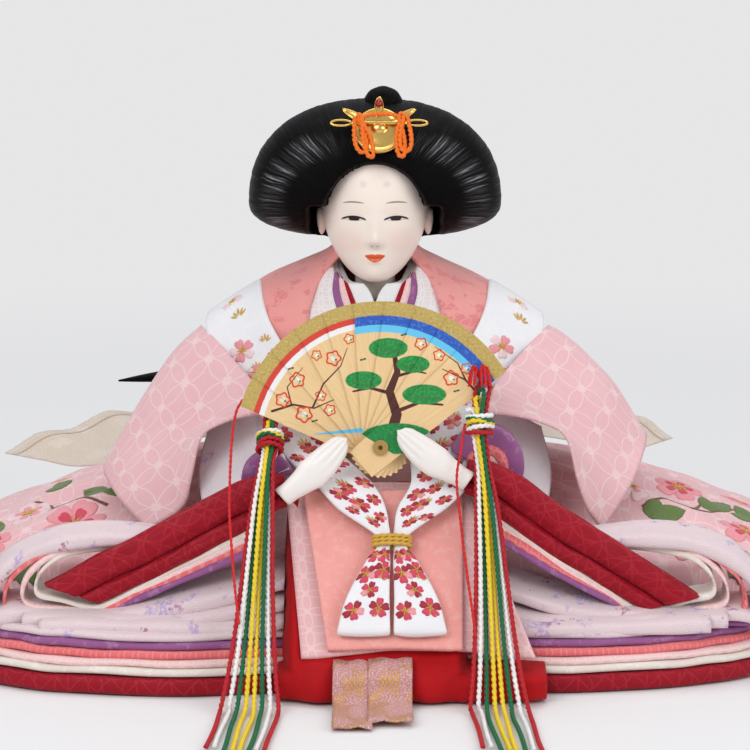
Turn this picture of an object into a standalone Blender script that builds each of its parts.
"""Hina doll: a seated empress in layered robes, holding a folding court fan of ten blades.

Metres, Z up. The doll faces -Y. The origin lies on the floor, under the axis of the neck.
"""

import math

import bmesh
import bpy
from mathutils import Matrix, Vector

# Clearances shared by every piece
GAP = 0.0003
OVERRUN = 0.002

# Fan: blades turn on a tubular rivet in a plane that leans back
RIVET_X = 0.0018
RIVET_Y = -0.0720
RIVET_Z = 0.0771
FAN_LEAN = math.radians(10)
BLADE_COUNT = 10
BLADE_PITCH_ANGLE = math.radians(12.6)
FRONT_BLADE_ANGLE = math.radians(40.7)
BLADE_LENGTH = 0.0485
BLADE_TAIL = 0.0085
BLADE_TOP_HALF = 0.0080
BLADE_FOOT_HALF = 0.0055
BLADE_THICKNESS = 0.0004
RIVET_SHAFT = 0.0014
RIVET_BORE = 0.0008
RIVET_HEAD = 0.0026
RIVET_HEAD_THICKNESS = 0.0005

# Head, neck and hair
HEAD_HALF_WIDTH = 0.0188
HEAD_HALF_DEPTH = 0.0210
HEAD_CENTRE_Y = -0.0010
HEAD_CENTRE_Z = 0.1520
HEAD_UP = 0.0260
HEAD_DOWN = 0.0280
CHIN_FORWARD = 0.0130
JAW_TAPER_SHARE = 0.30
EAR_HALF_HEIGHT = 0.0048
EAR_HALF_WIDTH = 0.0020
EAR_DROP = 0.0085
NECK_RADIUS = 0.0072
NECK_FOOT_Z = 0.1163
PEG_RADIUS = 0.0020
PEG_DEPTH = 0.0240
PEG_IN_HEAD = 0.0120
HAIR_HALF_WIDTH = 0.0442
HAIR_RIDGE_Z = 0.1860
HAIR_LOBE_Z = 0.1385
HAIR_CENTRE_Y = 0.0040
HAIR_NAPE_Z = 0.1390
HAIR_HALF_DEPTH = 0.0260
TOPKNOT_RADIUS = 0.0066
TOPKNOT_Y = 0.0020
TOPKNOT_X = 0.0028
ORNAMENT_X = 0.0014
ORNAMENT_BELOW_RIDGE = 0.0095
ORNAMENT_RADIUS = 0.0090
ORNAMENT_THICKNESS = 0.0012
ORNAMENT_LEAN_SHARE = 0.85
PRONG_LENGTH = 0.0120
PIN_HALF_LENGTH = 0.0171
PIN_RADIUS = 0.0007
ORNAMENT_CORD_RADIUS = 0.0007
ORNAMENT_LOOP_DROP = 0.0105
ORNAMENT_LOOP_HALF = 0.0022

# Base hem and the stack of hems over it, on one rounded footprint
FOOT_LEFT = 0.1500
FOOT_RIGHT = 0.1460
FOOT_FRONT = 0.1040
FOOT_BACK = 0.0860
FOOT_POWER = 4.0
FRONT_DENT_SHARE = 0.07
FRONT_DENT_HALF = 0.0500
RIGHT_FRONT_SHARE = 0.10
BASE_HEIGHT = 0.0060
HEM_LAYERS = 5
HEM_LAYER = 0.0026
HEM_BULGE = 0.0014
HEM_STEP_BACK = 0.0016

# Outer robe over the hems
ROBE_HALF_WIDTH = 0.1480
ROBE_FRONT = 0.0740
ROBE_BACK = 0.0750
ROBE_CENTRE_Y = 0.0120
ROBE_RISE = 0.0300
ROBE_RIM = 0.0130
ROBE_FOLDS = 14
ROBE_FOLD = 0.0016

# Body core, arms and hands
CORE_WAIST_X = 0.0240
CORE_WAIST_Y = 0.0190
CORE_CENTRE_Y = 0.0040
CORE_TOP_Z = 0.1160
WIRE_RADIUS = 0.0011
HAND_THICKNESS = 0.0042
HAND_HEIGHT = 0.0090
HAND_LENGTH = 0.0260
HAND_TURN_LEFT = math.radians(43)
HAND_TURN_RIGHT = math.radians(36)
FAN_TO_HAND = 0.0003
WRIST_SPAN_SHARE = 0.3016
WRIST_Y = -0.0745
WRIST_LEFT_Z = 0.0630
WRIST_RIGHT_Z = 0.0680

# Jacket over the shoulders
NECK_OPENING_X = 0.0200
NECK_OPENING_Y = 0.0160
JACKET_TOP_Z = 0.1300
JACKET_HEIGHT = 0.0420
JACKET_HALF_WIDTH = 0.0600
JACKET_BACK = 0.0340
JACKET_FRONT = 0.0380
JACKET_OPEN_ANGLE = math.radians(44)
CLOTH = 0.0012

# Collars round the neck
COLLAR_RADIUS = 0.0081
COLLAR_STEP = 0.0021
COLLAR_THICKNESS = 0.0010
COLLAR_WIDTH = 0.0056
COLLAR_BACK_Z = 0.1300
COLLAR_DROP = 0.0090
COLLAR_STOP_ANGLE = math.radians(160)

# Front panels, hakama and sash strips
PANEL_TOP_Y = -0.0655
PANEL_TOP_Z = 0.0620
PANEL_FOOT_Y = -0.1030
PANEL_FOOT_Z = 0.0150
PANEL_THICKNESS = 0.0022
PANEL_BOW_SHARE = 0.012
PATTERNED_TOP_HALF = 0.0300
PATTERNED_FOOT_LEFT = -0.0240
PATTERNED_FOOT_RIGHT = 0.0520
CORAL_TOP_LEFT = -0.0240
CORAL_TOP_RIGHT = 0.0290
CORAL_FOOT_LEFT = -0.0155
CORAL_FOOT_RIGHT = 0.0285
HAKAMA_LEFT = 0.0320
HAKAMA_RIGHT = 0.0560
KNEES_IN_LEFT = 0.0020
KNEES_IN_RIGHT = 0.0240
HAKAMA_LIP_Y = -0.1130
HAKAMA_LIP_Z = 0.0110
STRIP_THICKNESS = 0.0010
STRIP_END_Y = -0.1410
STRIP_LEFT = -0.0136
STRIP_RIGHT = 0.0120
STRIP_MIDDLE = -0.0009
STRIP_SLIT = 0.0010

# Lapels and the gold tie round them
LAPEL_HALF_WIDTH = 0.0088
TIE_X = 0.0055
TIE_DOWN_SHARE = 0.40
TIE_LIFT = 0.0085
TIE_BORE_X = 0.0056
TIE_BORE_Y = 0.0017
TIE_WALL = 0.0010
TIE_HEIGHT = 0.0038

# Sleeves, their dark red rolls and the layers under them
SLEEVE_SPAN_SHARE = 1.575
SLEEVE_REACH = 0.0680
SLEEVE_HEIGHT = 0.1120
RIGHT_CUFF_RAISE = 0.0110
ROLL_Y = -0.0750
ROLL_START_LEFT = 0.0335
ROLL_START_LEFT_Z = 0.0636
ROLL_START_RIGHT = 0.0365
ROLL_START_RIGHT_Z = 0.0666
ROLL_END_LEFT = 0.1040
ROLL_END_LEFT_Z = 0.0285
ROLL_END_RIGHT = 0.1030
ROLL_END_RIGHT_Z = 0.0264
ROLL_HALF_HEIGHT = 0.0070
ROLL_HALF_DEPTH = 0.0034
STACK_END_X = 0.1230
STACK_BACK_Y = -0.0640
STACK_SLANT_LEFT = 0.0010
STACK_SLANT_RIGHT = 0.0190
STACK_LAYERS = 6
STACK_BULGE = 0.0012

# Train and hair tail
TRAIN_TOP_Y = 0.0420
TRAIN_FOOT_Y = 0.0930
TRAIN_TOP_HALF = 0.0300
TRAIN_LEFT = 0.1420
TRAIN_RIGHT = 0.1140
TRAIN_LEFT_Z = 0.0400
TRAIN_RIGHT_Z = 0.0460
TRAIN_ARCH = 0.0180
TRAIN_FOLD = 0.0014
TAIL_HALF_WIDTH = 0.0085
TAIL_HALF_DEPTH = 0.0028
TAIL_END_X = -0.0900
TAIL_END_Y = 0.0690
TAIL_END_Z = 0.0770

# Fan cords
CORD_SPREAD = 0.0027
CORD_RADIUS = 0.0006
CORD_RING_RADIUS = 0.0021
KNOT_WALL = 0.0012
KNOT_HEIGHT = 0.0060
KNOT_BANDS = 4
THREAD_RADIUS = 0.0003
KNOT_LEFT_X = -0.0349
KNOT_LEFT_Y = -0.0705
KNOT_LEFT_Z = 0.0785
KNOT_LEFT_LEAN = math.radians(50)
KNOT_LEFT_TO_BLADE = 0.0069
KNOT_RIGHT_X = 0.0345
KNOT_RIGHT_Y = -0.0775
KNOT_RIGHT_Z = 0.0860
KNOT_RIGHT_LEAN = math.radians(20)
KNOT_RIGHT_TO_BLADE = 0.0200
WHITE_LOOP = 0.0012
YELLOW_LOOP = 0.0050
GREEN_LOOP = 0.0078
RED_LOOP = 0.0104

SEGMENTS = 40
ROBE_SEGMENTS = 56


def collection(name, hidden=False):
    made = bpy.data.collections.new(name)
    bpy.context.scene.collection.children.link(made)
    made.hide_render = hidden
    return made


def material(name, colour, roughness, metallic=0.0):
    made = bpy.data.materials.new(name)
    made.use_nodes = True
    shader = made.node_tree.nodes["Principled BSDF"]
    shader.inputs["Base Color"].default_value = (*colour, 1.0)
    shader.inputs["Roughness"].default_value = roughness
    shader.inputs["Metallic"].default_value = metallic
    made.diffuse_color = (*colour, 1.0)
    return made


def keep(obj, finish, carrier=None, carried_from=None):
    """Files a finished piece in the doll's collection, under the empty on its joint if it moves.

    A piece made in the doll's own frame gives the empty's place, so that it stays where it was made.
    """
    DOLL.objects.link(obj)
    obj.data.materials.append(finish)
    if carrier:
        obj.parent = carrier
    if carried_from:
        obj.matrix_parent_inverse = carried_from.inverted()
    return obj


def mesh_from(name, points, faces, smooth=True):
    """A mesh object of these points and faces, its faces turned outwards."""
    mesh = bpy.data.meshes.new(name)
    mesh.from_pydata([tuple(p) for p in points], [], faces)
    form = bmesh.new()
    form.from_mesh(mesh)
    bmesh.ops.recalc_face_normals(form, faces=form.faces)
    form.to_mesh(mesh)
    form.free()
    for face in mesh.polygons:
        face.use_smooth = smooth
    return bpy.data.objects.new(name, mesh)


def loft(name, rings, through=False):
    """A closed solid through rings of equal count. With through, the last ring joins the first."""
    count = len(rings[0])
    points = [p for ring in rings for p in ring]
    faces = []
    for i in range(len(rings) if through else len(rings) - 1):
        low = i * count
        high = (i + 1) % len(rings) * count
        for j in range(count):
            k = (j + 1) % count
            faces.append((low + j, low + k, high + k, high + j))
    if not through:
        faces.append(tuple(range(count)))
        faces.append(tuple(range(len(points) - count, len(points))))
    return mesh_from(name, points, faces)


def cloth(name, rows, thickness, levels=0, slit=None):
    """A sheet through a grid of points, thickened to both sides. A slit parts it below its first row."""
    wide = len(rows[0])
    points = [p for row in rows for p in row]
    faces = [
        (i * wide + j, i * wide + j + 1, (i + 1) * wide + j + 1, (i + 1) * wide + j)
        for i in range(len(rows) - 1)
        for j in range(wide - 1)
        if i == 0 or j != slit
    ]
    made = mesh_from(name, points, faces)
    if levels:
        smooth = made.modifiers.new("smooth", "SUBSURF")
        smooth.levels = levels
        smooth.render_levels = levels
    solid = made.modifiers.new("thickness", "SOLIDIFY")
    solid.thickness = thickness
    solid.offset = 0
    return made


def tube(name, points, radius, sides=2):
    """A tube along these points, with closed ends."""
    curve = bpy.data.curves.new(name, "CURVE")
    curve.dimensions = "3D"
    curve.bevel_depth = radius
    curve.bevel_resolution = sides
    curve.use_fill_caps = True
    line = curve.splines.new("POLY")
    line.points.add(len(points) - 1)
    for spot, point in zip(line.points, points):
        spot.co = (*point, 1.0)
    return bpy.data.objects.new(name, curve)


def plate(name, outlines, thickness):
    """A flat plate of closed outlines in its own XY plane. Outlines inside the first one are holes."""
    curve = bpy.data.curves.new(name, "CURVE")
    curve.dimensions = "2D"
    curve.fill_mode = "BOTH"
    curve.extrude = thickness / 2
    for outline in outlines:
        line = curve.splines.new("POLY")
        line.points.add(len(outline) - 1)
        line.use_cyclic_u = True
        for spot, (x, y) in zip(line.points, outline):
            spot.co = (x, y, 0, 1)
    return bpy.data.objects.new(name, curve)


def combine(obj, other, operation="DIFFERENCE"):
    """Cuts a helper out of a piece, or joins it on. The helper isn't rendered."""
    CUTTERS.objects.link(other)
    other.hide_render = True
    other.display_type = "WIRE"
    step = obj.modifiers.new(other.name, "BOOLEAN")
    step.operation = operation
    step.solver = "EXACT"
    step.object = other
    return obj


def ellipse(centre, half_x, half_y, count=SEGMENTS, across=(1, 0, 0), along=(0, 1, 0)):
    """A ring of points round a centre, in the plane of two directions."""
    across = Vector(across)
    along = Vector(along)
    ring = []
    for i in range(count):
        turn = math.tau * i / count
        ring.append(Vector(centre) + across * half_x * math.cos(turn) + along * half_y * math.sin(turn))
    return ring


def smooth_path(knots, steps):
    """Points of a Catmull-Rom curve through the knots, with this many steps from knot to knot."""
    knots = [Vector(k) for k in knots]
    ends = [2 * knots[0] - knots[1]] + knots + [2 * knots[-1] - knots[-2]]
    path = []
    for i in range(1, len(ends) - 2):
        a, b, c, d = ends[i - 1 : i + 3]
        for j in range(steps):
            t = j / steps
            path.append(
                (2 * b + (c - a) * t + (2 * a - 5 * b + 4 * c - d) * t**2 + (3 * b - a - 3 * c + d) * t**3) / 2
            )
    return path + [knots[-1]]


def blend(low, high, share):
    return low + (high - low) * share


def lookup(table, at):
    """The value at this share, along a table of (share, value) pairs."""
    for (a, low), (b, high) in zip(table, table[1:]):
        if at <= b:
            return blend(low, high, (at - a) / (b - a))
    return table[-1][1]


# Fan

FAN_FRAME = Matrix.Translation((RIVET_X, RIVET_Y, RIVET_Z)) @ Matrix.Rotation(
    math.radians(90) - FAN_LEAN, 4, "X"
)
BLADE_PITCH = BLADE_THICKNESS + GAP
STACK_HALF = ((BLADE_COUNT - 1) * BLADE_PITCH + BLADE_THICKNESS) / 2


def on_fan(x, y, z):
    """A place given in the fan's plane: across, up, and out towards the front."""
    return FAN_FRAME @ Vector((x, y, z))


def blade_outline():
    """A blade standing upright: a square foot under the rivet, and a rim that is an arc round it."""
    half_angle = math.asin(BLADE_TOP_HALF / BLADE_LENGTH)
    rim = [
        (
            BLADE_LENGTH * math.sin(half_angle * (1 - i / 3)),
            BLADE_LENGTH * math.cos(half_angle * (1 - i / 3)),
        )
        for i in range(7)
    ]
    foot = [(-BLADE_FOOT_HALF, -BLADE_TAIL), (BLADE_FOOT_HALF, -BLADE_TAIL)]
    return foot + rim


def circle(radius, count):
    return [
        (radius * math.cos(math.tau * i / count), radius * math.sin(math.tau * i / count))
        for i in range(count)
    ]


def add_blades():
    """Blade 1 is the leftmost and hindmost, blade 10 the rightmost and foremost."""
    for i in range(BLADE_COUNT):
        name = f"blade_{i + 1:02d}"
        blade = plate(name, [blade_outline(), circle(RIVET_SHAFT + GAP, 16)], BLADE_THICKNESS)
        angle = FRONT_BLADE_ANGLE + (BLADE_COUNT - 1 - i) * BLADE_PITCH_ANGLE
        blade.rotation_euler.z = angle - math.radians(90)
        blade.location.z = (i - (BLADE_COUNT - 1) / 2) * BLADE_PITCH
        keep(blade, WOOD, FAN_AXIS)


def add_rivet():
    """A tubular eyelet, turned: its two flanges hold the stack of blades."""
    inside = STACK_HALF + GAP
    outside = inside + RIVET_HEAD_THICKNESS
    profile = [
        (RIVET_BORE, outside),
        (RIVET_HEAD, outside),
        (RIVET_HEAD, inside),
        (RIVET_SHAFT, inside),
        (RIVET_SHAFT, -inside),
        (RIVET_HEAD, -inside),
        (RIVET_HEAD, -outside),
        (RIVET_BORE, -outside),
    ]
    mesh = bpy.data.meshes.new("fan_rivet")
    edges = [(i, (i + 1) % len(profile)) for i in range(len(profile))]
    mesh.from_pydata([(x, 0, z) for x, z in profile], edges, [])
    rivet = bpy.data.objects.new("fan_rivet", mesh)
    turn = rivet.modifiers.new("turn", "SCREW")
    turn.steps = 20
    turn.render_steps = 20
    turn.use_merge_vertices = True
    turn.merge_threshold = GAP / 100
    keep(rivet, BRASS, FAN_AXIS)


# Head, hair and ornament

def head_form(name, grow):
    """The head as a ball pulled to a jaw and a chin. Grow makes it larger all round."""
    form = bmesh.new()
    bmesh.ops.create_uvsphere(form, u_segments=24, v_segments=16, radius=1)
    for vert in form.verts:
        across, depth, up = vert.co
        low = max(0, -up)
        x = across * (HEAD_HALF_WIDTH + grow) * (1 - JAW_TAPER_SHARE * low**2)
        y = HEAD_CENTRE_Y + depth * (HEAD_HALF_DEPTH + grow) - CHIN_FORWARD * low**3
        z = HEAD_CENTRE_Z + up * ((HEAD_DOWN if up < 0 else HEAD_UP) + grow)
        vert.co = (x, y, z)
    mesh = bpy.data.meshes.new(name)
    form.to_mesh(mesh)
    form.free()
    for face in mesh.polygons:
        face.use_smooth = True
    return bpy.data.objects.new(name, mesh)


def rod(name, radius, low, high, x=0, y=0, sides=24):
    """An upright round rod between two heights."""
    rings = [ellipse((x, y, z), radius, radius, sides) for z in (low, high)]
    return loft(name, rings)


def ear(side, grow=0):
    form = bmesh.new()
    bmesh.ops.create_uvsphere(form, u_segments=8, v_segments=6, radius=1)
    mesh = bpy.data.meshes.new("ear")
    form.to_mesh(mesh)
    form.free()
    made = bpy.data.objects.new("ear", mesh)
    made.scale = (EAR_HALF_WIDTH + grow, EAR_HALF_WIDTH * 1.5 + grow, EAR_HALF_HEIGHT + grow)
    made.location = (side * HEAD_HALF_WIDTH, 0, HEAD_CENTRE_Z - EAR_DROP)
    return made


def add_head():
    head = head_form("head", 0)
    neck = rod("neck_form", NECK_RADIUS, NECK_FOOT_Z, HEAD_CENTRE_Z - HEAD_DOWN / 2)
    combine(head, neck, "UNION")
    for side in (-1, 1):
        combine(head, ear(side), "UNION")
    bore = rod("peg_bore", PEG_RADIUS + GAP, NECK_FOOT_Z - OVERRUN, NECK_FOOT_Z + PEG_IN_HEAD + GAP)
    combine(head, bore)
    keep(head, FACE, NECK_AXIS)
    peg = rod("neck_peg", PEG_RADIUS, CORE_TOP_Z - PEG_DEPTH, NECK_FOOT_Z + PEG_IN_HEAD, sides=16)
    keep(peg, PALE_WOOD, NECK_AXIS)


# Shares of the hair's half width, and there the top, foot and depth as shares of the ridge, of the way
# from lobe to ridge, and of the half depth
HAIR_TOP_SHARES = [(0, 1.0), (0.45, 0.995), (0.6, 0.975), (0.84, 0.9355), (0.96, 0.885), (1.0, 0.83)]
HAIR_FOOT_SHARES = [(0, 0.150), (0.3, 0.149), (0.45, 0.07), (0.6, 0), (0.84, 0.06), (0.96, 0.2), (1, 0.3)]
HAIR_DEPTH_SHARES = [(0, 1.0), (0.45, 0.97), (0.6, 0.86), (0.84, 0.6), (0.96, 0.34), (1.0, 0.12)]
HAIR_NAPE_SHARE = 0.35
HAIR_STATION_SHARES = [0, 0.14, 0.28, 0.4, 0.5, 0.6, 0.72, 0.84, 0.92, 0.97, 1.0]


def hair_ring(share, grow):
    """A section of the hair wing at this share of its half width, right of the middle if positive."""
    at = abs(share)
    top = HAIR_RIDGE_Z * lookup(HAIR_TOP_SHARES, at)
    foot = HAIR_LOBE_Z + (HAIR_RIDGE_Z - HAIR_LOBE_Z) * lookup(HAIR_FOOT_SHARES, at)
    depth = HAIR_HALF_DEPTH * lookup(HAIR_DEPTH_SHARES, at)
    x = share * (HAIR_HALF_WIDTH + grow)
    middle = (top + foot) / 2
    ring = ellipse((x, HAIR_CENTRE_Y, middle), depth + grow, middle - foot + grow, 20, (0, 1, 0), (0, 0, 1))
    if at < HAIR_NAPE_SHARE:
        for i in range(16, 20):
            y, z = power_point(math.tau * i / 20, depth + grow, middle - HAIR_NAPE_Z + grow, 3)
            ring[i] = Vector((x, HAIR_CENTRE_Y + y, middle + z))
    return ring


def hair_form(name, grow=0):
    shares = [-s for s in reversed(HAIR_STATION_SHARES[1:])] + HAIR_STATION_SHARES
    return loft(name, [hair_ring(s, grow) for s in shares])


def add_hair():
    hair = combine(hair_form("hair_wing"), head_form("head_in_hair", GAP))
    for side in (-1, 1):
        combine(hair, ear(side, GAP))
    keep(hair, HAIR, NECK_AXIS)
    form = bmesh.new()
    bmesh.ops.create_uvsphere(form, u_segments=20, v_segments=12, radius=TOPKNOT_RADIUS)
    mesh = bpy.data.meshes.new("topknot")
    form.to_mesh(mesh)
    form.free()
    knot = bpy.data.objects.new("topknot", mesh)
    knot.location = (TOPKNOT_X, TOPKNOT_Y, HAIR_RIDGE_Z - TOPKNOT_RADIUS / 3)
    combine(knot, hair_form("hair_under_knot", GAP))
    keep(knot, HAIR, NECK_AXIS)


def ornament_place(forward):
    """Where the gold ornament stands: this far off the hair, leaning back a little less than it does."""
    foot = blend(HAIR_LOBE_Z, HAIR_RIDGE_Z, HAIR_FOOT_SHARES[0][1])
    half = (HAIR_RIDGE_Z - foot) / 2
    climb = 1 - ORNAMENT_BELOW_RIDGE / half
    back = math.sqrt(1 - climb**2)
    lean = ORNAMENT_LEAN_SHARE * math.atan2(HAIR_HALF_DEPTH * climb, half * back)
    y = HAIR_CENTRE_Y - HAIR_HALF_DEPTH * back - forward * math.cos(lean)
    z = HAIR_RIDGE_Z - ORNAMENT_BELOW_RIDGE + forward * math.sin(lean)
    return Matrix.Translation((ORNAMENT_X, y, z)) @ Matrix.Rotation(math.radians(90) - lean, 4, "X")


def ornament_outline():
    """A disc with three pointed leaves fanning up from it."""
    outline = []
    for degrees in (30, 90, 150):
        for turn, reach in ((-14, 1.0), (-6, 1.25), (0, None), (6, 1.25), (14, 1.0)):
            out = ORNAMENT_RADIUS * reach if reach else PRONG_LENGTH
            outline.append((out, degrees + turn))
    outline += [(ORNAMENT_RADIUS, degrees) for degrees in range(175, 375, 12)]
    return [(r * math.cos(math.radians(a)), r * math.sin(math.radians(a))) for r, a in outline]


def add_ornament():
    disc = plate("hair_ornament", [ornament_outline()], ORNAMENT_THICKNESS)
    disc.matrix_world = ornament_place(GAP + ORNAMENT_THICKNESS / 2)
    keep(disc, GOLD, NECK_AXIS)
    reach = ORNAMENT_THICKNESS + PIN_RADIUS + GAP * 2
    middle = ornament_place(reach) @ Vector((0, ORNAMENT_RADIUS / 4, 0))
    ends = [middle + Vector((side * PIN_HALF_LENGTH, 0, 0)) for side in (-1, 1)]
    keep(tube("hairpin", [ends[0], middle, ends[1]], PIN_RADIUS), GOLD, NECK_AXIS)
    add_ornament_cord(reach + PIN_RADIUS + GAP + ORNAMENT_CORD_RADIUS)


def add_ornament_cord(forward):
    """One orange cord laid in four hanging loops, two each side of the disc."""
    place = ornament_place(forward)
    points = []
    for i in range(4):
        x = ORNAMENT_LOOP_HALF * ((i - 1.5) * 2 + (1 if i > 1 else -1))
        for j in range(8):
            turn = math.pi * j / 7
            low = math.sin(turn) ** 0.8
            swing = ORNAMENT_LOOP_HALF * 0.55 * math.cos(turn)
            points.append(place @ Vector((x - swing, ORNAMENT_RADIUS / 4 - ORNAMENT_LOOP_DROP * low, 0)))
    keep(tube("ornament_cord", points, ORNAMENT_CORD_RADIUS, 1), ORANGE, NECK_AXIS)


# Base hem, stack of hems and outer robe

HEM_FOOT_Z = BASE_HEIGHT + GAP
HEM_TOP_Z = HEM_FOOT_Z + HEM_LAYERS * HEM_LAYER
ROBE_FOOT_Z = HEM_TOP_Z + GAP


def power_point(turn, half_x, half_y, power):
    """A point of a rounded rectangle: a superellipse of this power."""
    across, along = math.cos(turn), math.sin(turn)
    x = math.copysign(abs(across) ** (2 / power), across) * half_x
    y = math.copysign(abs(along) ** (2 / power), along) * half_y
    return x, y


def footprint(z, inset):
    """The outline of the hems on the floor, drawn in by the inset, and pressed in behind the hakama."""
    ring = []
    for i in range(SEGMENTS):
        turn = math.tau * i / SEGMENTS
        half_x = (FOOT_RIGHT if math.cos(turn) > 0 else FOOT_LEFT) - inset
        half_y = (FOOT_FRONT if math.sin(turn) < 0 else FOOT_BACK) - inset
        x, y = power_point(turn, half_x, half_y, FOOT_POWER)
        if y < 0:
            y *= 1 - FRONT_DENT_SHARE * math.exp(-((x / FRONT_DENT_HALF) ** 4))
            y *= 1 - RIGHT_FRONT_SHARE * max(0, x) / FOOT_RIGHT
        ring.append(Vector((x, y, z)))
    return ring


def add_base_hem():
    round_off = BASE_HEIGHT / 4
    rings = [
        footprint(0, round_off),
        footprint(round_off, 0),
        footprint(BASE_HEIGHT - round_off, 0),
        footprint(BASE_HEIGHT, round_off),
    ]
    keep(loft("base_hem", rings), DARK_RED)


def hem_rings(grow):
    """Each hem bulges at its edge, and lies a little behind the one under it."""
    rings = [footprint(HEM_FOOT_Z - grow, HEM_STEP_BACK + HEM_BULGE - grow)]
    for i in range(HEM_LAYERS):
        inset = HEM_STEP_BACK * (i + 1) - grow
        low = HEM_FOOT_Z + i * HEM_LAYER
        rings.append(footprint(low + HEM_LAYER / 2, inset))
        rings.append(footprint(low + HEM_LAYER, inset + HEM_BULGE))
    rings[-1] = footprint(HEM_TOP_Z + grow, HEM_STEP_BACK * HEM_LAYERS + HEM_BULGE - grow)
    return rings


def add_hem_stack():
    keep(loft("hem_stack", hem_rings(0)), PALE_PINK)


# Shares of the robe's outline, and there of its rim and of its rise above the rim
ROBE_PROFILE_SHARES = [
    (0.975, 0, 0),
    (1.0, 0.4, 0),
    (0.985, 1, 0),
    (0.9, 1, 0.16),
    (0.75, 1, 0.42),
    (0.55, 1, 0.70),
    (0.4, 1, 0.88),
    (0.28, 1, 1),
]


def robe_top(x, y):
    """The height of the robe's upper side at this place, folds and all."""
    y -= ROBE_CENTRE_Y
    half_y = ROBE_FRONT if y < 0 else ROBE_BACK
    across, along = abs(x / ROBE_HALF_WIDTH) ** 1.5, abs(y / half_y) ** 1.5
    share = math.hypot(across, along) ** (2 / 3)
    rises = [(out, rise) for out, rim, rise in reversed(ROBE_PROFILE_SHARES) if rim == 1]
    rise = lookup(rises, max(share, rises[0][0]))
    turn = math.atan2(math.copysign(along, y), math.copysign(across, x))
    return ROBE_FOOT_Z + ROBE_RIM + ROBE_RISE * rise + robe_fold(turn, rise)


def robe_fold(turn, rise):
    return ROBE_FOLD * math.cos(ROBE_FOLDS * turn) * rise * (1 - rise) * 4


def add_outer_robe():
    """A low mound with folds that run out to its rim, with a hole for the body core."""
    rings = []
    for share, rim, rise in ROBE_PROFILE_SHARES:
        ring = []
        for i in range(ROBE_SEGMENTS):
            turn = math.tau * i / ROBE_SEGMENTS
            half_y = ROBE_FRONT if math.sin(turn) < 0 else ROBE_BACK
            x, y = power_point(turn, ROBE_HALF_WIDTH * share, half_y * share, 3)
            z = ROBE_FOOT_Z + ROBE_RIM * rim + ROBE_RISE * rise + robe_fold(turn, rise)
            ring.append(Vector((x, ROBE_CENTRE_Y + y, z)))
        rings.append(ring)
    for z in (ROBE_FOOT_Z + ROBE_RIM + ROBE_RISE, ROBE_FOOT_Z):
        centre = (0, CORE_CENTRE_Y, z)
        rings.append(ellipse(centre, CORE_WAIST_X + GAP, CORE_WAIST_Y + GAP, ROBE_SEGMENTS))
    keep(loft("outer_robe", rings, through=True), SILVER_PINK)


# Jacket, body core, arms and hands

# Shares from the neck down: height, and there the half width, front and back between the neck and the hem
JACKET_SHARES = [(0, 0), (0.08, 0.25), (0.2, 0.5), (0.45, 0.87), (0.7, 0.97), (1.0, 1.0)]


def jacket_point(turn, down, lift=0):
    """A place on the jacket: turned from the middle of the back, this share down it, and lifted off it."""
    spread = lookup(JACKET_SHARES, down)
    half_x = blend(NECK_OPENING_X, JACKET_HALF_WIDTH, spread) + lift
    reach = JACKET_BACK if math.cos(turn) > 0 else JACKET_FRONT
    half_y = blend(NECK_OPENING_Y, reach, spread) + lift
    z = JACKET_TOP_Z - JACKET_HEIGHT * down
    return Vector((half_x * math.sin(turn), CORE_CENTRE_Y + half_y * math.cos(turn), z + lift / 2))


def add_jacket():
    """Open at the front, where the lapels cover its edges."""
    end = math.pi - JACKET_OPEN_ANGLE
    rows = []
    for i in range(7):
        down = (i / 6) ** 1.4
        rows.append([jacket_point(end * (j / 10 - 1), down) for j in range(21)])
    keep(cloth("jacket", rows, CLOTH), CORAL_PINK)


def add_core():
    """A padded bundle: straight at the waist, with shoulders that fill the jacket."""
    rings = [ellipse((0, CORE_CENTRE_Y, z), CORE_WAIST_X, CORE_WAIST_Y) for z in (ROBE_FOOT_Z, WAIST_TOP_Z)]
    turns = [math.pi / 2 - math.tau * i / SEGMENTS for i in range(SEGMENTS)]
    for down, lift, drop in ((0.62, -CLOTH * 9, 0), (0.50, -CLOTH * 3, CLOTH), (0.40, -CLOTH * 3, CLOTH)):
        ring = [jacket_point(turn, down, lift) for turn in turns]
        z = JACKET_TOP_Z - JACKET_HEIGHT * down - drop
        rings.append([Vector((p.x, p.y, z)) for p in ring])
    top = ellipse((0, CORE_CENTRE_Y / 2, CORE_TOP_Z), NECK_RADIUS * 1.5, NECK_RADIUS * 1.2)
    core = loft("body_core", rings + [top])
    bore = rod("peg_socket", PEG_RADIUS + GAP, CORE_TOP_Z - PEG_DEPTH - GAP, CORE_TOP_Z + OVERRUN)
    keep(combine(core, bore), STRAW)


WAIST_TOP_Z = JACKET_TOP_Z - JACKET_HEIGHT * 0.75
SHOULDER_WIRE_Z = WAIST_TOP_Z - WIRE_RADIUS * 8
SLEEVE_SPAN = JACKET_HALF_WIDTH * SLEEVE_SPAN_SHARE
HAND_TURN = {-1: HAND_TURN_LEFT, 1: HAND_TURN_RIGHT}
WRIST_Z = {-1: WRIST_LEFT_Z, 1: WRIST_RIGHT_Z}
# Places along a hand from wrist to fingertips, and there its height and thickness, as shares of its sizes
HAND_SHARES = [
    (0.00, 0.62, 0.90),
    (0.18, 0.68, 0.95),
    (0.42, 1.00, 1.00),
    (0.68, 0.90, 0.90),
    (0.90, 0.60, 0.70),
    (1.00, 0.25, 0.40),
]


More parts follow.
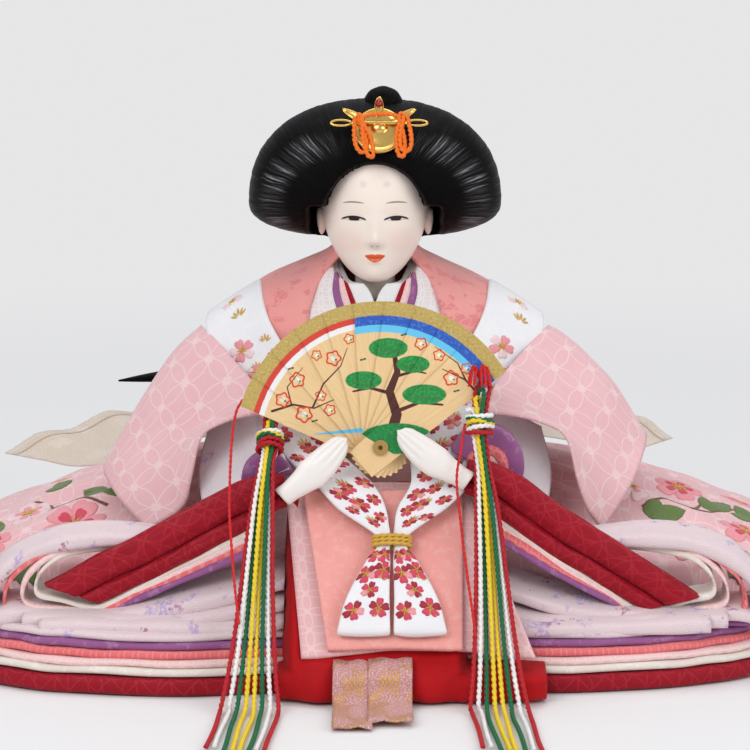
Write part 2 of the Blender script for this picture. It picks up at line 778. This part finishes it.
def add_arm(side, word):
    """A hand laid in front of the fan, and the wire that carries it from the core."""
    front = on_fan(0, 0, STACK_HALF + FAN_TO_HAND)
    turn = HAND_TURN[side]
    across = Vector((-side * math.cos(turn), 0, math.sin(turn)))
    out = FAN_FRAME.to_3x3() @ Vector((0, 0, 1))
    across = (across - out * across.dot(out)).normalized()
    height = out.cross(across)
    start = Vector((side * SLEEVE_SPAN * WRIST_SPAN_SHARE, WRIST_Y, WRIST_Z[side]))
    start += out * ((front - start).dot(out) + HAND_THICKNESS / 2)
    rings = []
    for along, tall, thick in HAND_SHARES:
        centre = start + across * HAND_LENGTH * along
        rings.append(
            ellipse(centre, HAND_HEIGHT / 2 * tall, HAND_THICKNESS / 2 * thick, 14, height, out)
        )
    keep(loft(f"hand_{word}", rings), SKIN)
    wrist = start - across * (GAP + WIRE_RADIUS)
    knots = [
        Vector((side * (CORE_WAIST_X + GAP + WIRE_RADIUS), CORE_CENTRE_Y, SHOULDER_WIRE_Z)),
        Vector((side * CORE_WAIST_X * 1.6, CORE_CENTRE_Y - CORE_WAIST_Y * 1.6, SHOULDER_WIRE_Z * 0.86)),
        wrist + Vector((side * WIRE_RADIUS * 4, CORE_WAIST_Y, -WIRE_RADIUS * 2)),
        wrist,
    ]
    keep(tube(f"arm_wire_{word}", smooth_path(knots, 6), WIRE_RADIUS), STEEL)


# Collars

def collar_point(turn, layer, width):
    """A place on a collar: turned from the back, this share of the way out along its width."""
    radius = COLLAR_RADIUS + layer * COLLAR_STEP
    sink = (1 - math.cos(turn)) / 2
    out = COLLAR_WIDTH * width * 0.5
    z = COLLAR_BACK_Z - COLLAR_DROP * sink**1.5 - COLLAR_WIDTH * width * 0.86 - layer * COLLAR_STEP / 4
    reach = radius + out
    y = CORE_CENTRE_Y / 2 + reach * math.cos(turn) - COLLAR_RADIUS / 2 * sink
    return Vector((reach * math.sin(turn), y, z))


def add_collars():
    finishes = [
        ("collar_white", WHITE),
        ("collar_red", RED),
        ("collar_purple", PURPLE),
        ("collar_patterned", SILVER_PINK),
    ]
    for layer, (name, finish) in enumerate(finishes):
        rows = []
        for j in range(3):
            rows.append(
                [collar_point(COLLAR_STOP_ANGLE * (i / 12 - 1), layer, j / 2) for i in range(25)]
            )
        keep(cloth(name, rows, COLLAR_THICKNESS), finish)


# Front: hakama, panels, lapels and sash

SLOPE_TOP = Vector((0, PANEL_TOP_Y, PANEL_TOP_Z))
SLOPE_DOWN = (Vector((0, PANEL_FOOT_Y, PANEL_FOOT_Z)) - SLOPE_TOP).normalized()
SLOPE_LENGTH = (Vector((0, PANEL_FOOT_Y, PANEL_FOOT_Z)) - SLOPE_TOP).length
SLOPE_OUT = SLOPE_DOWN.cross(Vector((1, 0, 0)))
LAYER_STEP = PANEL_THICKNESS + GAP


def on_slope(x, down, lift):
    """A place over the knees: across, this share of the way down, and lifted off the hakama."""
    return Vector((x, 0, 0)) + SLOPE_TOP + SLOPE_DOWN * SLOPE_LENGTH * down + SLOPE_OUT * lift


def add_hakama():
    """A solid over the knees that falls in front of the hems to the floor."""
    back = ROBE_CENTRE_Y - ROBE_FRONT - GAP
    lip = HAKAMA_LIP_Z
    section = [
        (back, 0),
        (back, PANEL_TOP_Z),
        (PANEL_TOP_Y, PANEL_TOP_Z),
        (PANEL_FOOT_Y, PANEL_FOOT_Z),
        (HAKAMA_LIP_Y + lip / 2, lip),
        (HAKAMA_LIP_Y + lip / 5, lip * 0.8),
        (HAKAMA_LIP_Y, lip / 3),
        (HAKAMA_LIP_Y + lip / 10, 0),
    ]
    knees_left, knees_right = -HAKAMA_LEFT + KNEES_IN_LEFT, HAKAMA_RIGHT - KNEES_IN_RIGHT
    stations = [-HAKAMA_LEFT, -HAKAMA_LEFT + GAP]
    stations += [blend(knees_left, knees_right, i / 5) for i in range(6)]
    stations += [knees_right + GAP * 5, blend(knees_right, HAKAMA_RIGHT, 0.6), HAKAMA_RIGHT]
    rings = []
    for i, x in enumerate(stations):
        draw_in = lip / 3 if i in (0, len(stations) - 1) else lip / 12 * (i % 2)
        tallest = PANEL_TOP_Z if knees_left <= x <= knees_right else lip
        ring = [Vector((x, y, min(z, tallest))) for y, z in section]
        for point in ring[4:]:
            point.y += draw_in
        rings.append(ring)
    hakama = loft("hakama", rings)
    base = [footprint(-OVERRUN, -GAP), footprint(HEM_FOOT_Z, -GAP)]
    keep(combine(hakama, loft("hems_in_hakama", base + hem_rings(GAP)[1:])), BRIGHT_RED)


def add_panel(name, layer, finish, top_edges, foot_edges, slope_shares):
    """A padded slab on the slope of the knees, this many layers up, with a round lower hem."""
    top_left, top_right = top_edges
    foot_left, foot_right = foot_edges
    top, foot = slope_shares
    round_off = PANEL_THICKNESS / 3
    middle = layer * LAYER_STEP + GAP + PANEL_THICKNESS / 2
    rings = []
    for lift, inset in ((-1, round_off), (-0.4, 0), (0.4, 0), (1, round_off)):
        out = middle + lift * PANEL_THICKNESS / 2
        corners = [
            (top_left + inset, top),
            (blend(top_left, foot_left, 0.5) + inset, blend(top, foot, 0.5)),
            (foot_left + inset, foot - inset / SLOPE_LENGTH),
            (blend(foot_left, foot_right, 0.5), foot + PANEL_BOW_SHARE - inset / SLOPE_LENGTH),
            (foot_right - inset, foot - inset / SLOPE_LENGTH),
            (blend(top_right, foot_right, 0.5) - inset, blend(top, foot, 0.5)),
            (top_right - inset, top),
        ]
        rings.append([on_slope(x, down, out) for x, down in corners])
    keep(loft(name, rings), finish)


def add_panels():
    top_edges = (-PATTERNED_TOP_HALF, PATTERNED_TOP_HALF)
    foot_edges = (PATTERNED_FOOT_LEFT, PATTERNED_FOOT_RIGHT)
    add_panel("panel_patterned", 0, PALE_PINK, top_edges, foot_edges, (-0.02, 1.03))
    top_edges = (CORAL_TOP_LEFT, CORAL_TOP_RIGHT)
    foot_edges = (CORAL_FOOT_LEFT, CORAL_FOOT_RIGHT)
    add_panel("panel_coral", 1, CORAL_PINK, top_edges, foot_edges, (0.05, 1.00))


# On the shoulder: how far forward, and the lower and upper edge down the jacket
LAPEL_SHOULDER_SHARES = [(0.0, 0.50, 0.20), (0.22, 0.55, 0.24), (0.44, 0.60, 0.30)]
# Behind the fan: shares of the jacket's half width, the panels' front and the jacket's top, then of the
# lapel's half width its own half width and how much its outer edge drops
LAPEL_FREE_SHARES = [(0.483, 0.771, 0.692, 0.966, 0.227), (0.375, 0.924, 0.569, 0.852, 0.114)]
# Over the knees: how far beside the tie, how far down, how high, and half the width there. The second
# is a share of the slope, the third of the tie's lift, and the others of the lapel's half width
LAPEL_KNEE_SHARES = [
    (1.93, 0.04, 1.035, 0.818),
    (0.93, 0.24, 1.118, 0.545),
    (0.33, TIE_DOWN_SHARE - 0.04, 1.0, 0.239),
    (0.33, TIE_DOWN_SHARE + 0.04, 1.0, 0.239),
    (0.477, 0.56, 1.035, 0.432),
    (0.886, 0.74, 1.012, 0.795),
    (1.057, 0.93, 0.941, 0.977),
]


def lapel_rows(side):
    """A lapel from its square end on the shoulder, down behind the fan, through the tie, to its tail."""
    lift = CLOTH + GAP
    rows = []
    for forward, low, high in LAPEL_SHOULDER_SHARES:
        at = side * (math.pi / 2 + forward * 2)
        rows.append([jacket_point(at, blend(low, high, j / 4), lift * (1 + forward * 3)) for j in range(5)])
    for out, forward, up, wide, tilt in LAPEL_FREE_SHARES:
        row = []
        for j in range(5):
            across = (1 - j / 2) * LAPEL_HALF_WIDTH
            x = side * (out * JACKET_HALF_WIDTH + wide * across)
            row.append(Vector((x, forward * PANEL_TOP_Y, up * JACKET_TOP_Z - tilt * across)))
        rows.append(row)
    for out, down, up, wide in LAPEL_KNEE_SHARES:
        row = []
        for j in range(5):
            across = 1 - j / 2
            crease = CLOTH / 2 * (1 - abs(across)) * (1 if down > 0.5 else 0)
            x = TIE_X + side * (out + wide * across) * LAPEL_HALF_WIDTH
            row.append(on_slope(x, down, up * TIE_LIFT + crease))
        rows.append(row)
    return rows if side < 0 else [row[::-1] for row in rows]


# How far down the tie, and how thick its wall is there: up the outside, then down the bore
TIE_WALL_SHARES = [(0, 0.5), (0.25, 1), (0.75, 1), (1, 0.5), (1, 0), (0, 0)]


def add_lapels():
    for side, word in ((-1, "left"), (1, "right")):
        keep(cloth(f"lapel_{word}", lapel_rows(side), CLOTH * 0.8), WHITE)
    rings = []
    for share, wall in TIE_WALL_SHARES:
        centre = on_slope(TIE_X, TIE_DOWN_SHARE + (share - 0.5) * TIE_HEIGHT / SLOPE_LENGTH, TIE_LIFT)
        out = TIE_WALL * wall
        rings.append(ellipse(centre, TIE_BORE_X + out, TIE_BORE_Y + out, 24, (1, 0, 0), SLOPE_OUT))
    keep(loft("gold_tie", rings, through=True), GOLD)


def add_sash_strips():
    """Two brocade strips, joined at the top: from under the panels, over the lip and out on the floor."""
    half = STRIP_THICKNESS / 2
    lift = half + GAP
    lip = HAKAMA_LIP_Y
    path = [
        (lip + HAKAMA_LIP_Z * 0.55, HAKAMA_LIP_Z + lift * 1.6),
        (lip - lift * 1.4, HAKAMA_LIP_Z * 0.95),
        (lip - lift * 2.2, HAKAMA_LIP_Z * 0.45),
        (lip - lift * 4, lift * 1.2),
        (blend(lip, STRIP_END_Y, 0.5), half + GAP),
        (STRIP_END_Y, half + GAP),
    ]
    edges = [STRIP_LEFT, blend(STRIP_LEFT, STRIP_RIGHT, 0.24), STRIP_MIDDLE - STRIP_SLIT / 2]
    edges += [STRIP_MIDDLE + STRIP_SLIT / 2, blend(STRIP_LEFT, STRIP_RIGHT, 0.76), STRIP_RIGHT]
    rows = [[Vector((x, y, z)) for x in edges] for y, z in path]
    keep(cloth("sash_strips", rows, STRIP_THICKNESS, slit=2), BROCADE)


# Sleeves, their rolls and stacks of layers

ROLL_ENDS = {
    -1: ((ROLL_START_LEFT, ROLL_START_LEFT_Z), (ROLL_END_LEFT, ROLL_END_LEFT_Z)),
    1: ((ROLL_START_RIGHT, ROLL_START_RIGHT_Z), (ROLL_END_RIGHT, ROLL_END_RIGHT_Z)),
}
ROLL_SAG_SHARES = {-1: 0, 1: 0.17}
ROLL_FULL_SHARES = [0.55, 0.85, 1, 1, 1, 1, 1, 0.98, 0.93, 0.8, 0.5]
# How far down one layer, and how far out its bulge is there
LAYER_BULGE_SHARES = [(0, 0), (0.3, 0.9), (0.7, 0.9)]
STACK_SLANT = {-1: STACK_SLANT_LEFT, 1: STACK_SLANT_RIGHT}
# Rows from the front opening over the arm to the back, columns from the body outwards: shares of
# the sleeve's span, reach and height
SLEEVE_SHARES = [
    [(0.33, -1.00, 0.66), (0.50, -0.96, 0.575), (0.68, -0.89, 0.485), (0.84, -0.80, 0.400)],
    [(0.44, -0.62, 0.84), (0.60, -0.60, 0.735), (0.77, -0.57, 0.615), (0.94, -0.54, 0.480)],
    [(0.629, -0.10, 0.95), (0.74, -0.17, 0.855), (0.87, -0.20, 0.710), (1.00, -0.22, 0.525)],
    [(0.633, 0.18, 0.90), (0.75, 0.20, 0.800), (0.87, 0.24, 0.660), (0.97, 0.24, 0.510)],
    [(0.62, 0.40, 0.80), (0.71, 0.44, 0.720), (0.82, 0.46, 0.610), (0.90, 0.46, 0.500)],
]
CUFF_SHARES = [
    [(0.30, -1.00, 0.615), (0.43, -0.99, 0.570), (0.60, -0.965, 0.485)],
    [(0.335, -0.93, 0.671), (0.46, -0.88, 0.601), (0.62, -0.83, 0.516)],
    [(0.37, -0.79, 0.711), (0.48, -0.73, 0.646), (0.64, -0.66, 0.556)],
]


def sleeve_rows(side, shares):
    """Places of a sleeve. The right one is raised towards its outer corner."""
    rows = []
    for i, row in enumerate(shares):
        places = []
        for j, (out, forward, up) in enumerate(row):
            raise_by = RIGHT_CUFF_RAISE * j / 3 * min(i, 2) / 2 if side > 0 and len(row) > 3 else 0
            z = up * SLEEVE_HEIGHT + raise_by
            places.append(Vector((side * out * SLEEVE_SPAN, forward * SLEEVE_REACH, z)))
        rows.append(places if side < 0 else places[::-1])
    return rows


def roll_middle(side, share):
    """The middle line of a roll, from the hand out and down to its end."""
    (start_x, start_z), (end_x, end_z) = ROLL_ENDS[side]
    sag = ROLL_HALF_HEIGHT * ROLL_SAG_SHARES[side] * math.sin(math.pi * share)
    return Vector((side * blend(start_x, end_x, share), ROLL_Y, blend(start_z, end_z, share) - sag))


def add_roll(side, word):
    """The folded dark red sleeve edge: flat and full, pinched at both ends."""
    rings = []
    for i in range(11):
        share = i / 10
        full = ROLL_FULL_SHARES[i]
        down = (roll_middle(side, share + 0.05) - roll_middle(side, share - 0.05)).normalized()
        up = down.cross(Vector((0, side, 0))) * -1
        middle = roll_middle(side, share)
        rings.append(ellipse(middle, ROLL_HALF_HEIGHT * full, ROLL_HALF_DEPTH * full, 14, up, (0, 1, 0)))
    keep(loft(f"sleeve_roll_{word}", rings), DARK_RED)


def stack_ring(side, share):
    """A section of the layers under a roll: flat behind, and one bulge to each layer in front."""
    start = ROLL_ENDS[side][0][0] + ROLL_HALF_DEPTH / 2
    x = side * blend(start, STACK_END_X, share)
    at = min(1, share * (STACK_END_X - start) / (ROLL_ENDS[side][1][0] - start))
    close = max(0, (share - 0.8) / 0.2)
    top = roll_middle(side, at).z - ROLL_HALF_HEIGHT * 1.3 - GAP
    low = ROBE_FOOT_Z + STACK_BULGE * close
    top = max(low + ROLL_HALF_HEIGHT * 0.4, top)
    front_top = ROLL_Y - ROLL_HALF_DEPTH / 2
    front_low = blend(front_top, footprint_front(x), 0.62)
    ring = [Vector((x, STACK_BACK_Y, low)), Vector((x, STACK_BACK_Y, top))]
    for i in range(STACK_LAYERS):
        for j, out in LAYER_BULGE_SHARES:
            t = (i + j) / STACK_LAYERS
            y = blend(front_top, front_low, t**0.8) - STACK_BULGE * out
            ring.append(Vector((x, y + close * STACK_BULGE * 4, blend(top, low, t))))
    ring.append(Vector((x, front_low + close * STACK_BULGE * 4, low)))
    for point in ring:
        point.x += side * STACK_SLANT[side] * (1 - share) * (top - point.z) / (top - low)
    return ring


def footprint_front(x):
    """How far forward the hems reach at this place across."""
    half_x = FOOT_RIGHT if x > 0 else FOOT_LEFT
    y = -FOOT_FRONT * (1 - abs(x / half_x) ** FOOT_POWER) ** (1 / FOOT_POWER)
    return y * (1 - FRONT_DENT_SHARE * math.exp(-((x / FRONT_DENT_HALF) ** 4)))


def add_sleeves():
    for side, word in ((-1, "left"), (1, "right")):
        keep(cloth(f"sleeve_{word}", sleeve_rows(side, SLEEVE_SHARES), CLOTH, 1), PALE_PINK)
        keep(cloth(f"inner_sleeve_{word}", sleeve_rows(side, CUFF_SHARES), CLOTH, 1), WHITE)
        add_roll(side, word)
        rings = [stack_ring(side, i / 12) for i in range(13)]
        keep(loft(f"sleeve_stack_{word}", rings), LAVENDER)
        add_arm(side, word)


# Back: train and hair tail

def add_train():
    """A sheer pleated train over the back of the robe, with a pointed corner at each side."""
    robe_rim = ROBE_FOOT_Z + ROBE_RIM
    rows = []
    for i in range(7):
        down = i / 6
        row = []
        for j in range(23):
            across = j / 11 - 1
            reach = TRAIN_LEFT if across < 0 else TRAIN_RIGHT
            end_z = TRAIN_LEFT_Z if across < 0 else TRAIN_RIGHT_Z
            x = across * blend(TRAIN_TOP_HALF, reach, down)
            y = blend(TRAIN_TOP_Y, TRAIN_FOOT_Y, down) - TRAIN_ARCH * 0.6 * abs(across) * (1 - down)
            z = robe_top(x, y) + (CLOTH + GAP) * 0.8 + (end_z - robe_rim) * down
            z += TRAIN_ARCH * math.sin(math.pi * abs(across)) * down
            z += TRAIN_FOLD * (1 + math.cos(11 * math.pi * across)) * down
            row.append(Vector((x, y, z)))
        rows.append(row)
    keep(cloth("train", rows, CLOTH / 2), CREAM)


TAIL_NAPE_SHARE = 0.82
# How far down the jacket's back, and how far off it, as a share of the least that clears it
TAIL_BACK_SHARES = [(0.10, 1.5), (0.35, 1.5), (0.80, 1.3)]
# Over the train: shares of the place where the tail ends
TAIL_SHARES = [(0.067, 0.768, 1.130), (0.267, 0.899, 1.052), (0.622, 0.986, 1.026), (1, 1, 1)]


def add_hair_tail():
    """The long hair from the nape, down the back, and away to the left over the train."""
    lift = CLOTH / 2 + GAP + TAIL_HALF_DEPTH
    nape_y = HAIR_HALF_DEPTH * TAIL_NAPE_SHARE
    knots = [Vector((0, nape_y, HAIR_NAPE_Z - GAP * 3)), Vector((0, nape_y, HAIR_NAPE_Z - TAIL_HALF_DEPTH))]
    knots += [jacket_point(0, down, lift * out) for down, out in TAIL_BACK_SHARES]
    knots += [Vector((TAIL_END_X * x, TAIL_END_Y * y, TAIL_END_Z * z)) for x, y, z in TAIL_SHARES]
    path = smooth_path(knots, 2)
    rings = []
    for i, middle in enumerate(path):
        ahead = (path[min(i + 1, len(path) - 1)] - path[max(i - 1, 0)]).normalized()
        down = i / (len(path) - 1)
        out = blend(Vector((0, 1, 0)), Vector((0, 0, 1)), min(1, max(0, (down - 0.4) * 4)))
        wide = ahead.cross(out).normalized()
        out = wide.cross(ahead)
        full = 1 - 0.6 * max(0, down - 0.8) / 0.2
        rings.append(ellipse(middle, TAIL_HALF_WIDTH * full, TAIL_HALF_DEPTH * full, 12, wide, out))
    keep(loft("hair_tail", rings), HAIR)


# Fan cords: on each side four folded cords, with two hanging strands each, and a ring knot round all

# The way of a cord from its knot: how far out from the knot, then forward and up
CORD_FALL = [
    (-0.0010, -0.0810, 0.0720),
    (-0.0022, -0.0870, 0.0600),
    (-0.0034, -0.0970, 0.0400),
    (-0.0042, -0.1070, 0.0230),
    (-0.0048, -0.1150, 0.0110),
    (-0.0052, -0.1215, 0.0030),
]
# On the floor: how far out from the knot, and forward
CORD_FLOOR = [
    (-0.0056, -0.1260),
    (-0.0062, -0.1360),
    (-0.0068, -0.1460),
    (-0.0074, -0.1560),
    (-0.0080, -0.1650),
]
KNOT_PLACES = {
    -1: Vector((KNOT_LEFT_X, KNOT_LEFT_Y, KNOT_LEFT_Z)),
    1: Vector((KNOT_RIGHT_X, KNOT_RIGHT_Y, KNOT_RIGHT_Z)),
}
KNOT_LEANS = {-1: KNOT_LEFT_LEAN, 1: KNOT_RIGHT_LEAN}
KNOT_TO_BLADE = {-1: KNOT_LEFT_TO_BLADE, 1: KNOT_RIGHT_TO_BLADE}
LOOP_HEIGHTS = [WHITE_LOOP, YELLOW_LOOP, GREEN_LOOP, RED_LOOP]


# How far down one band of a knot, and how full it is there
BAND_SHARES = [(0.05, 0.7), (0.3, 1), (0.7, 1), (0.95, 0.7)]


def knot_frame(side):
    """The way up through a knot, and the way to its back. The left knot leans back under the fan."""
    lean = KNOT_LEANS[side]
    return Vector((0, math.sin(lean), math.cos(lean))), Vector((0, math.cos(lean), -math.sin(lean)))


def loop_spine(side, rise):
    """The loops' middle line over a knot, and the way to its back: along the knot, then with the fan."""
    up, back = knot_frame(side)
    reach = KNOT_HEIGHT * 0.65 + rise
    straight = min(reach, KNOT_TO_BLADE[side])
    fan = FAN_FRAME.to_3x3()
    if reach > straight:
        back = blend(back, fan @ Vector((0, 0, -1)), min(1, (reach - straight) / CORD_RING_RADIUS))
    return KNOT_PLACES[side] + up * straight + fan @ Vector((0, reach - straight, 0)), back


def strand(side, slot):
    """Half of a cord, from inside the knot down and forward to its end on the floor."""
    knot = KNOT_PLACES[side]
    up, back = knot_frame(side)
    angle = math.tau * (slot + 0.5) / 8
    around = (Vector((1, 0, 0)) * math.cos(angle) + back * math.sin(angle)) * CORD_RING_RADIUS
    order = sorted(range(8), key=lambda k: math.cos(math.tau * (k + 0.5) / 8) + k / 1000)
    spread = (order.index(slot) - 3.5) * CORD_SPREAD
    half = KNOT_HEIGHT / 2
    points = [knot + around + up * z for z in (half * 1.3, 0, -half * 1.3)]
    middle = [Vector((knot.x - side * x, y, z)) for x, y, z in CORD_FALL]
    knots = [points[-1]]
    for i, place in enumerate(middle):
        before = middle[i - 1] if i else points[-1] - around
        ahead = (middle[min(i + 1, len(middle) - 1)] - before).normalized()
        fan_out = (i + 1.5) / (len(middle) + 0.5)
        beside = Vector((0, -ahead.z, ahead.y)) * around.dot(back) * (1 - fan_out)
        knots.append(place + beside + Vector((spread * fan_out, 0, 0)))
    for i, (x, y) in enumerate(CORD_FLOOR):
        wander = CORD_SPREAD * 0.12 * math.sin(slot * 2 + i)
        uneven = CORD_SPREAD * 1.4 * math.sin(slot * 5)
        floor = CORD_RADIUS + GAP
        knots.append(Vector((knot.x - side * x + spread + wander, y + uneven, floor)))
    return points[:-1] + knots


def add_cords(side, word):
    knot = KNOT_PLACES[side]
    up, back = knot_frame(side)
    finishes = [("white", WHITE), ("yellow", YELLOW), ("green", GREEN), ("red", RED)]
    for i, (colour, finish) in enumerate(finishes):
        first = strand(side, i)
        second = strand(side, i + 4)
        top = []
        for j in range(1, 8):
            turn = math.pi * j / 8
            rise = LOOP_HEIGHTS[i] * math.sin(turn) ** 0.7
            spine, beside = loop_spine(side, rise)
            across = (first[1] - second[1]) / 2 * math.cos(turn)
            top.append(spine + Vector((across.x, 0, 0)) + beside * across.dot(back))
        points = first[::-1] + top + second
        keep(tube(f"cord_{colour}_{word}", points, CORD_RADIUS), finish, FAN_AXIS, FAN_FRAME)
    inner = CORD_RING_RADIUS + CORD_RADIUS + GAP
    half = KNOT_HEIGHT / 2
    rings = []
    for i in range(KNOT_BANDS):
        for share, out in BAND_SHARES:
            middle = knot + up * (KNOT_HEIGHT * (i + share) / KNOT_BANDS - half)
            reach = inner + KNOT_WALL * out
            rings.append(ellipse(middle, reach, reach, 12, (1, 0, 0), back))
    for end in (half, -half):
        rings.append(ellipse(knot + up * end, inner, inner, 12, (1, 0, 0), back))
    keep(loft(f"cord_knot_{word}", rings, through=True), RED, FAN_AXIS, FAN_FRAME)


THREAD_ROUTES = {
    "left": [
        (-0.0440, -0.0654, 0.0920),
        (-0.0462, -0.0672, 0.0880),
        (-0.0475, -0.0720, 0.0790),
        (-0.0478, -0.0860, 0.0620),
        (-0.0470, -0.0930, 0.0500),
        (-0.0455, -0.1010, 0.0360),
        (-0.0440, -0.1080, 0.0260),
    ],
    "right": [
        (0.0296, -0.0777, 0.0862),
        (0.0282, -0.0820, 0.0780),
        (0.0268, -0.0845, 0.0690),
        (0.0280, -0.0890, 0.0560),
        (0.0300, -0.0960, 0.0400),
        (0.0318, -0.1060, 0.0280),
        (0.0325, -0.1090, 0.0220),
    ],
}


def add_threads():
    for word, route in THREAD_ROUTES.items():
        keep(tube(f"silk_thread_{word}", smooth_path(route, 4), THREAD_RADIUS, 1), RED, FAN_AXIS, FAN_FRAME)


# The doll

for old in list(bpy.data.objects):
    bpy.data.objects.remove(old, do_unlink=True)
DOLL = collection("hina_doll")
CUTTERS = collection("cutters", hidden=True)

WOOD = material("pale fan wood", (0.86, 0.68, 0.38), 0.55)
BRASS = material("brass", (0.78, 0.57, 0.22), 0.3, 1.0)
GOLD = material("gold", (0.83, 0.55, 0.14), 0.28, 1.0)
FACE = material("white lacquer", (0.88, 0.82, 0.77), 0.45)
SKIN = material("white hand lacquer", (0.90, 0.87, 0.84), 0.45)
HAIR = material("black silk hair", (0.008, 0.008, 0.009), 0.4)
ORANGE = material("orange cord", (0.85, 0.22, 0.02), 0.7)
PALE_WOOD = material("peg wood", (0.70, 0.52, 0.32), 0.7)
STEEL = material("steel wire", (0.45, 0.45, 0.45), 0.4, 1.0)
STRAW = material("bundled straw", (0.62, 0.50, 0.28), 0.9)
WHITE = material("white brocade", (0.88, 0.86, 0.86), 0.7)
RED = material("red silk", (0.55, 0.01, 0.02), 0.6)
DARK_RED = material("dark red silk", (0.28, 0.008, 0.018), 0.6)
BRIGHT_RED = material("bright red silk", (0.62, 0.012, 0.012), 0.7)
PURPLE = material("purple silk", (0.30, 0.16, 0.36), 0.7)
LAVENDER = material("lavender silk", (0.62, 0.50, 0.62), 0.7)
SILVER_PINK = material("silver pink brocade", (0.80, 0.68, 0.70), 0.65)
PALE_PINK = material("pale pink brocade", (0.85, 0.58, 0.60), 0.7)
CORAL_PINK = material("coral pink silk", (0.85, 0.38, 0.36), 0.75)
BROCADE = material("pink and gold brocade", (0.60, 0.36, 0.30), 0.6)
CREAM = material("cream gauze", (0.80, 0.74, 0.66), 0.8)
YELLOW = material("yellow cord", (0.85, 0.62, 0.04), 0.7)
GREEN = material("green cord", (0.01, 0.22, 0.10), 0.7)

FAN_AXIS = bpy.data.objects.new("fan_axis", None)
FAN_AXIS.matrix_world = FAN_FRAME
NECK_AXIS = bpy.data.objects.new("neck_axis", None)
for empty in (FAN_AXIS, NECK_AXIS):
    DOLL.objects.link(empty)

add_base_hem()
add_hem_stack()
add_outer_robe()
add_core()
add_jacket()
add_collars()
add_hakama()
add_panels()
add_lapels()
add_sash_strips()
add_sleeves()
add_train()
add_hair_tail()
add_head()
add_hair()
add_ornament()
add_blades()
add_rivet()
for cord_side, cord_word in ((-1, "left"), (1, "right")):
    add_cords(cord_side, cord_word)
add_threads()
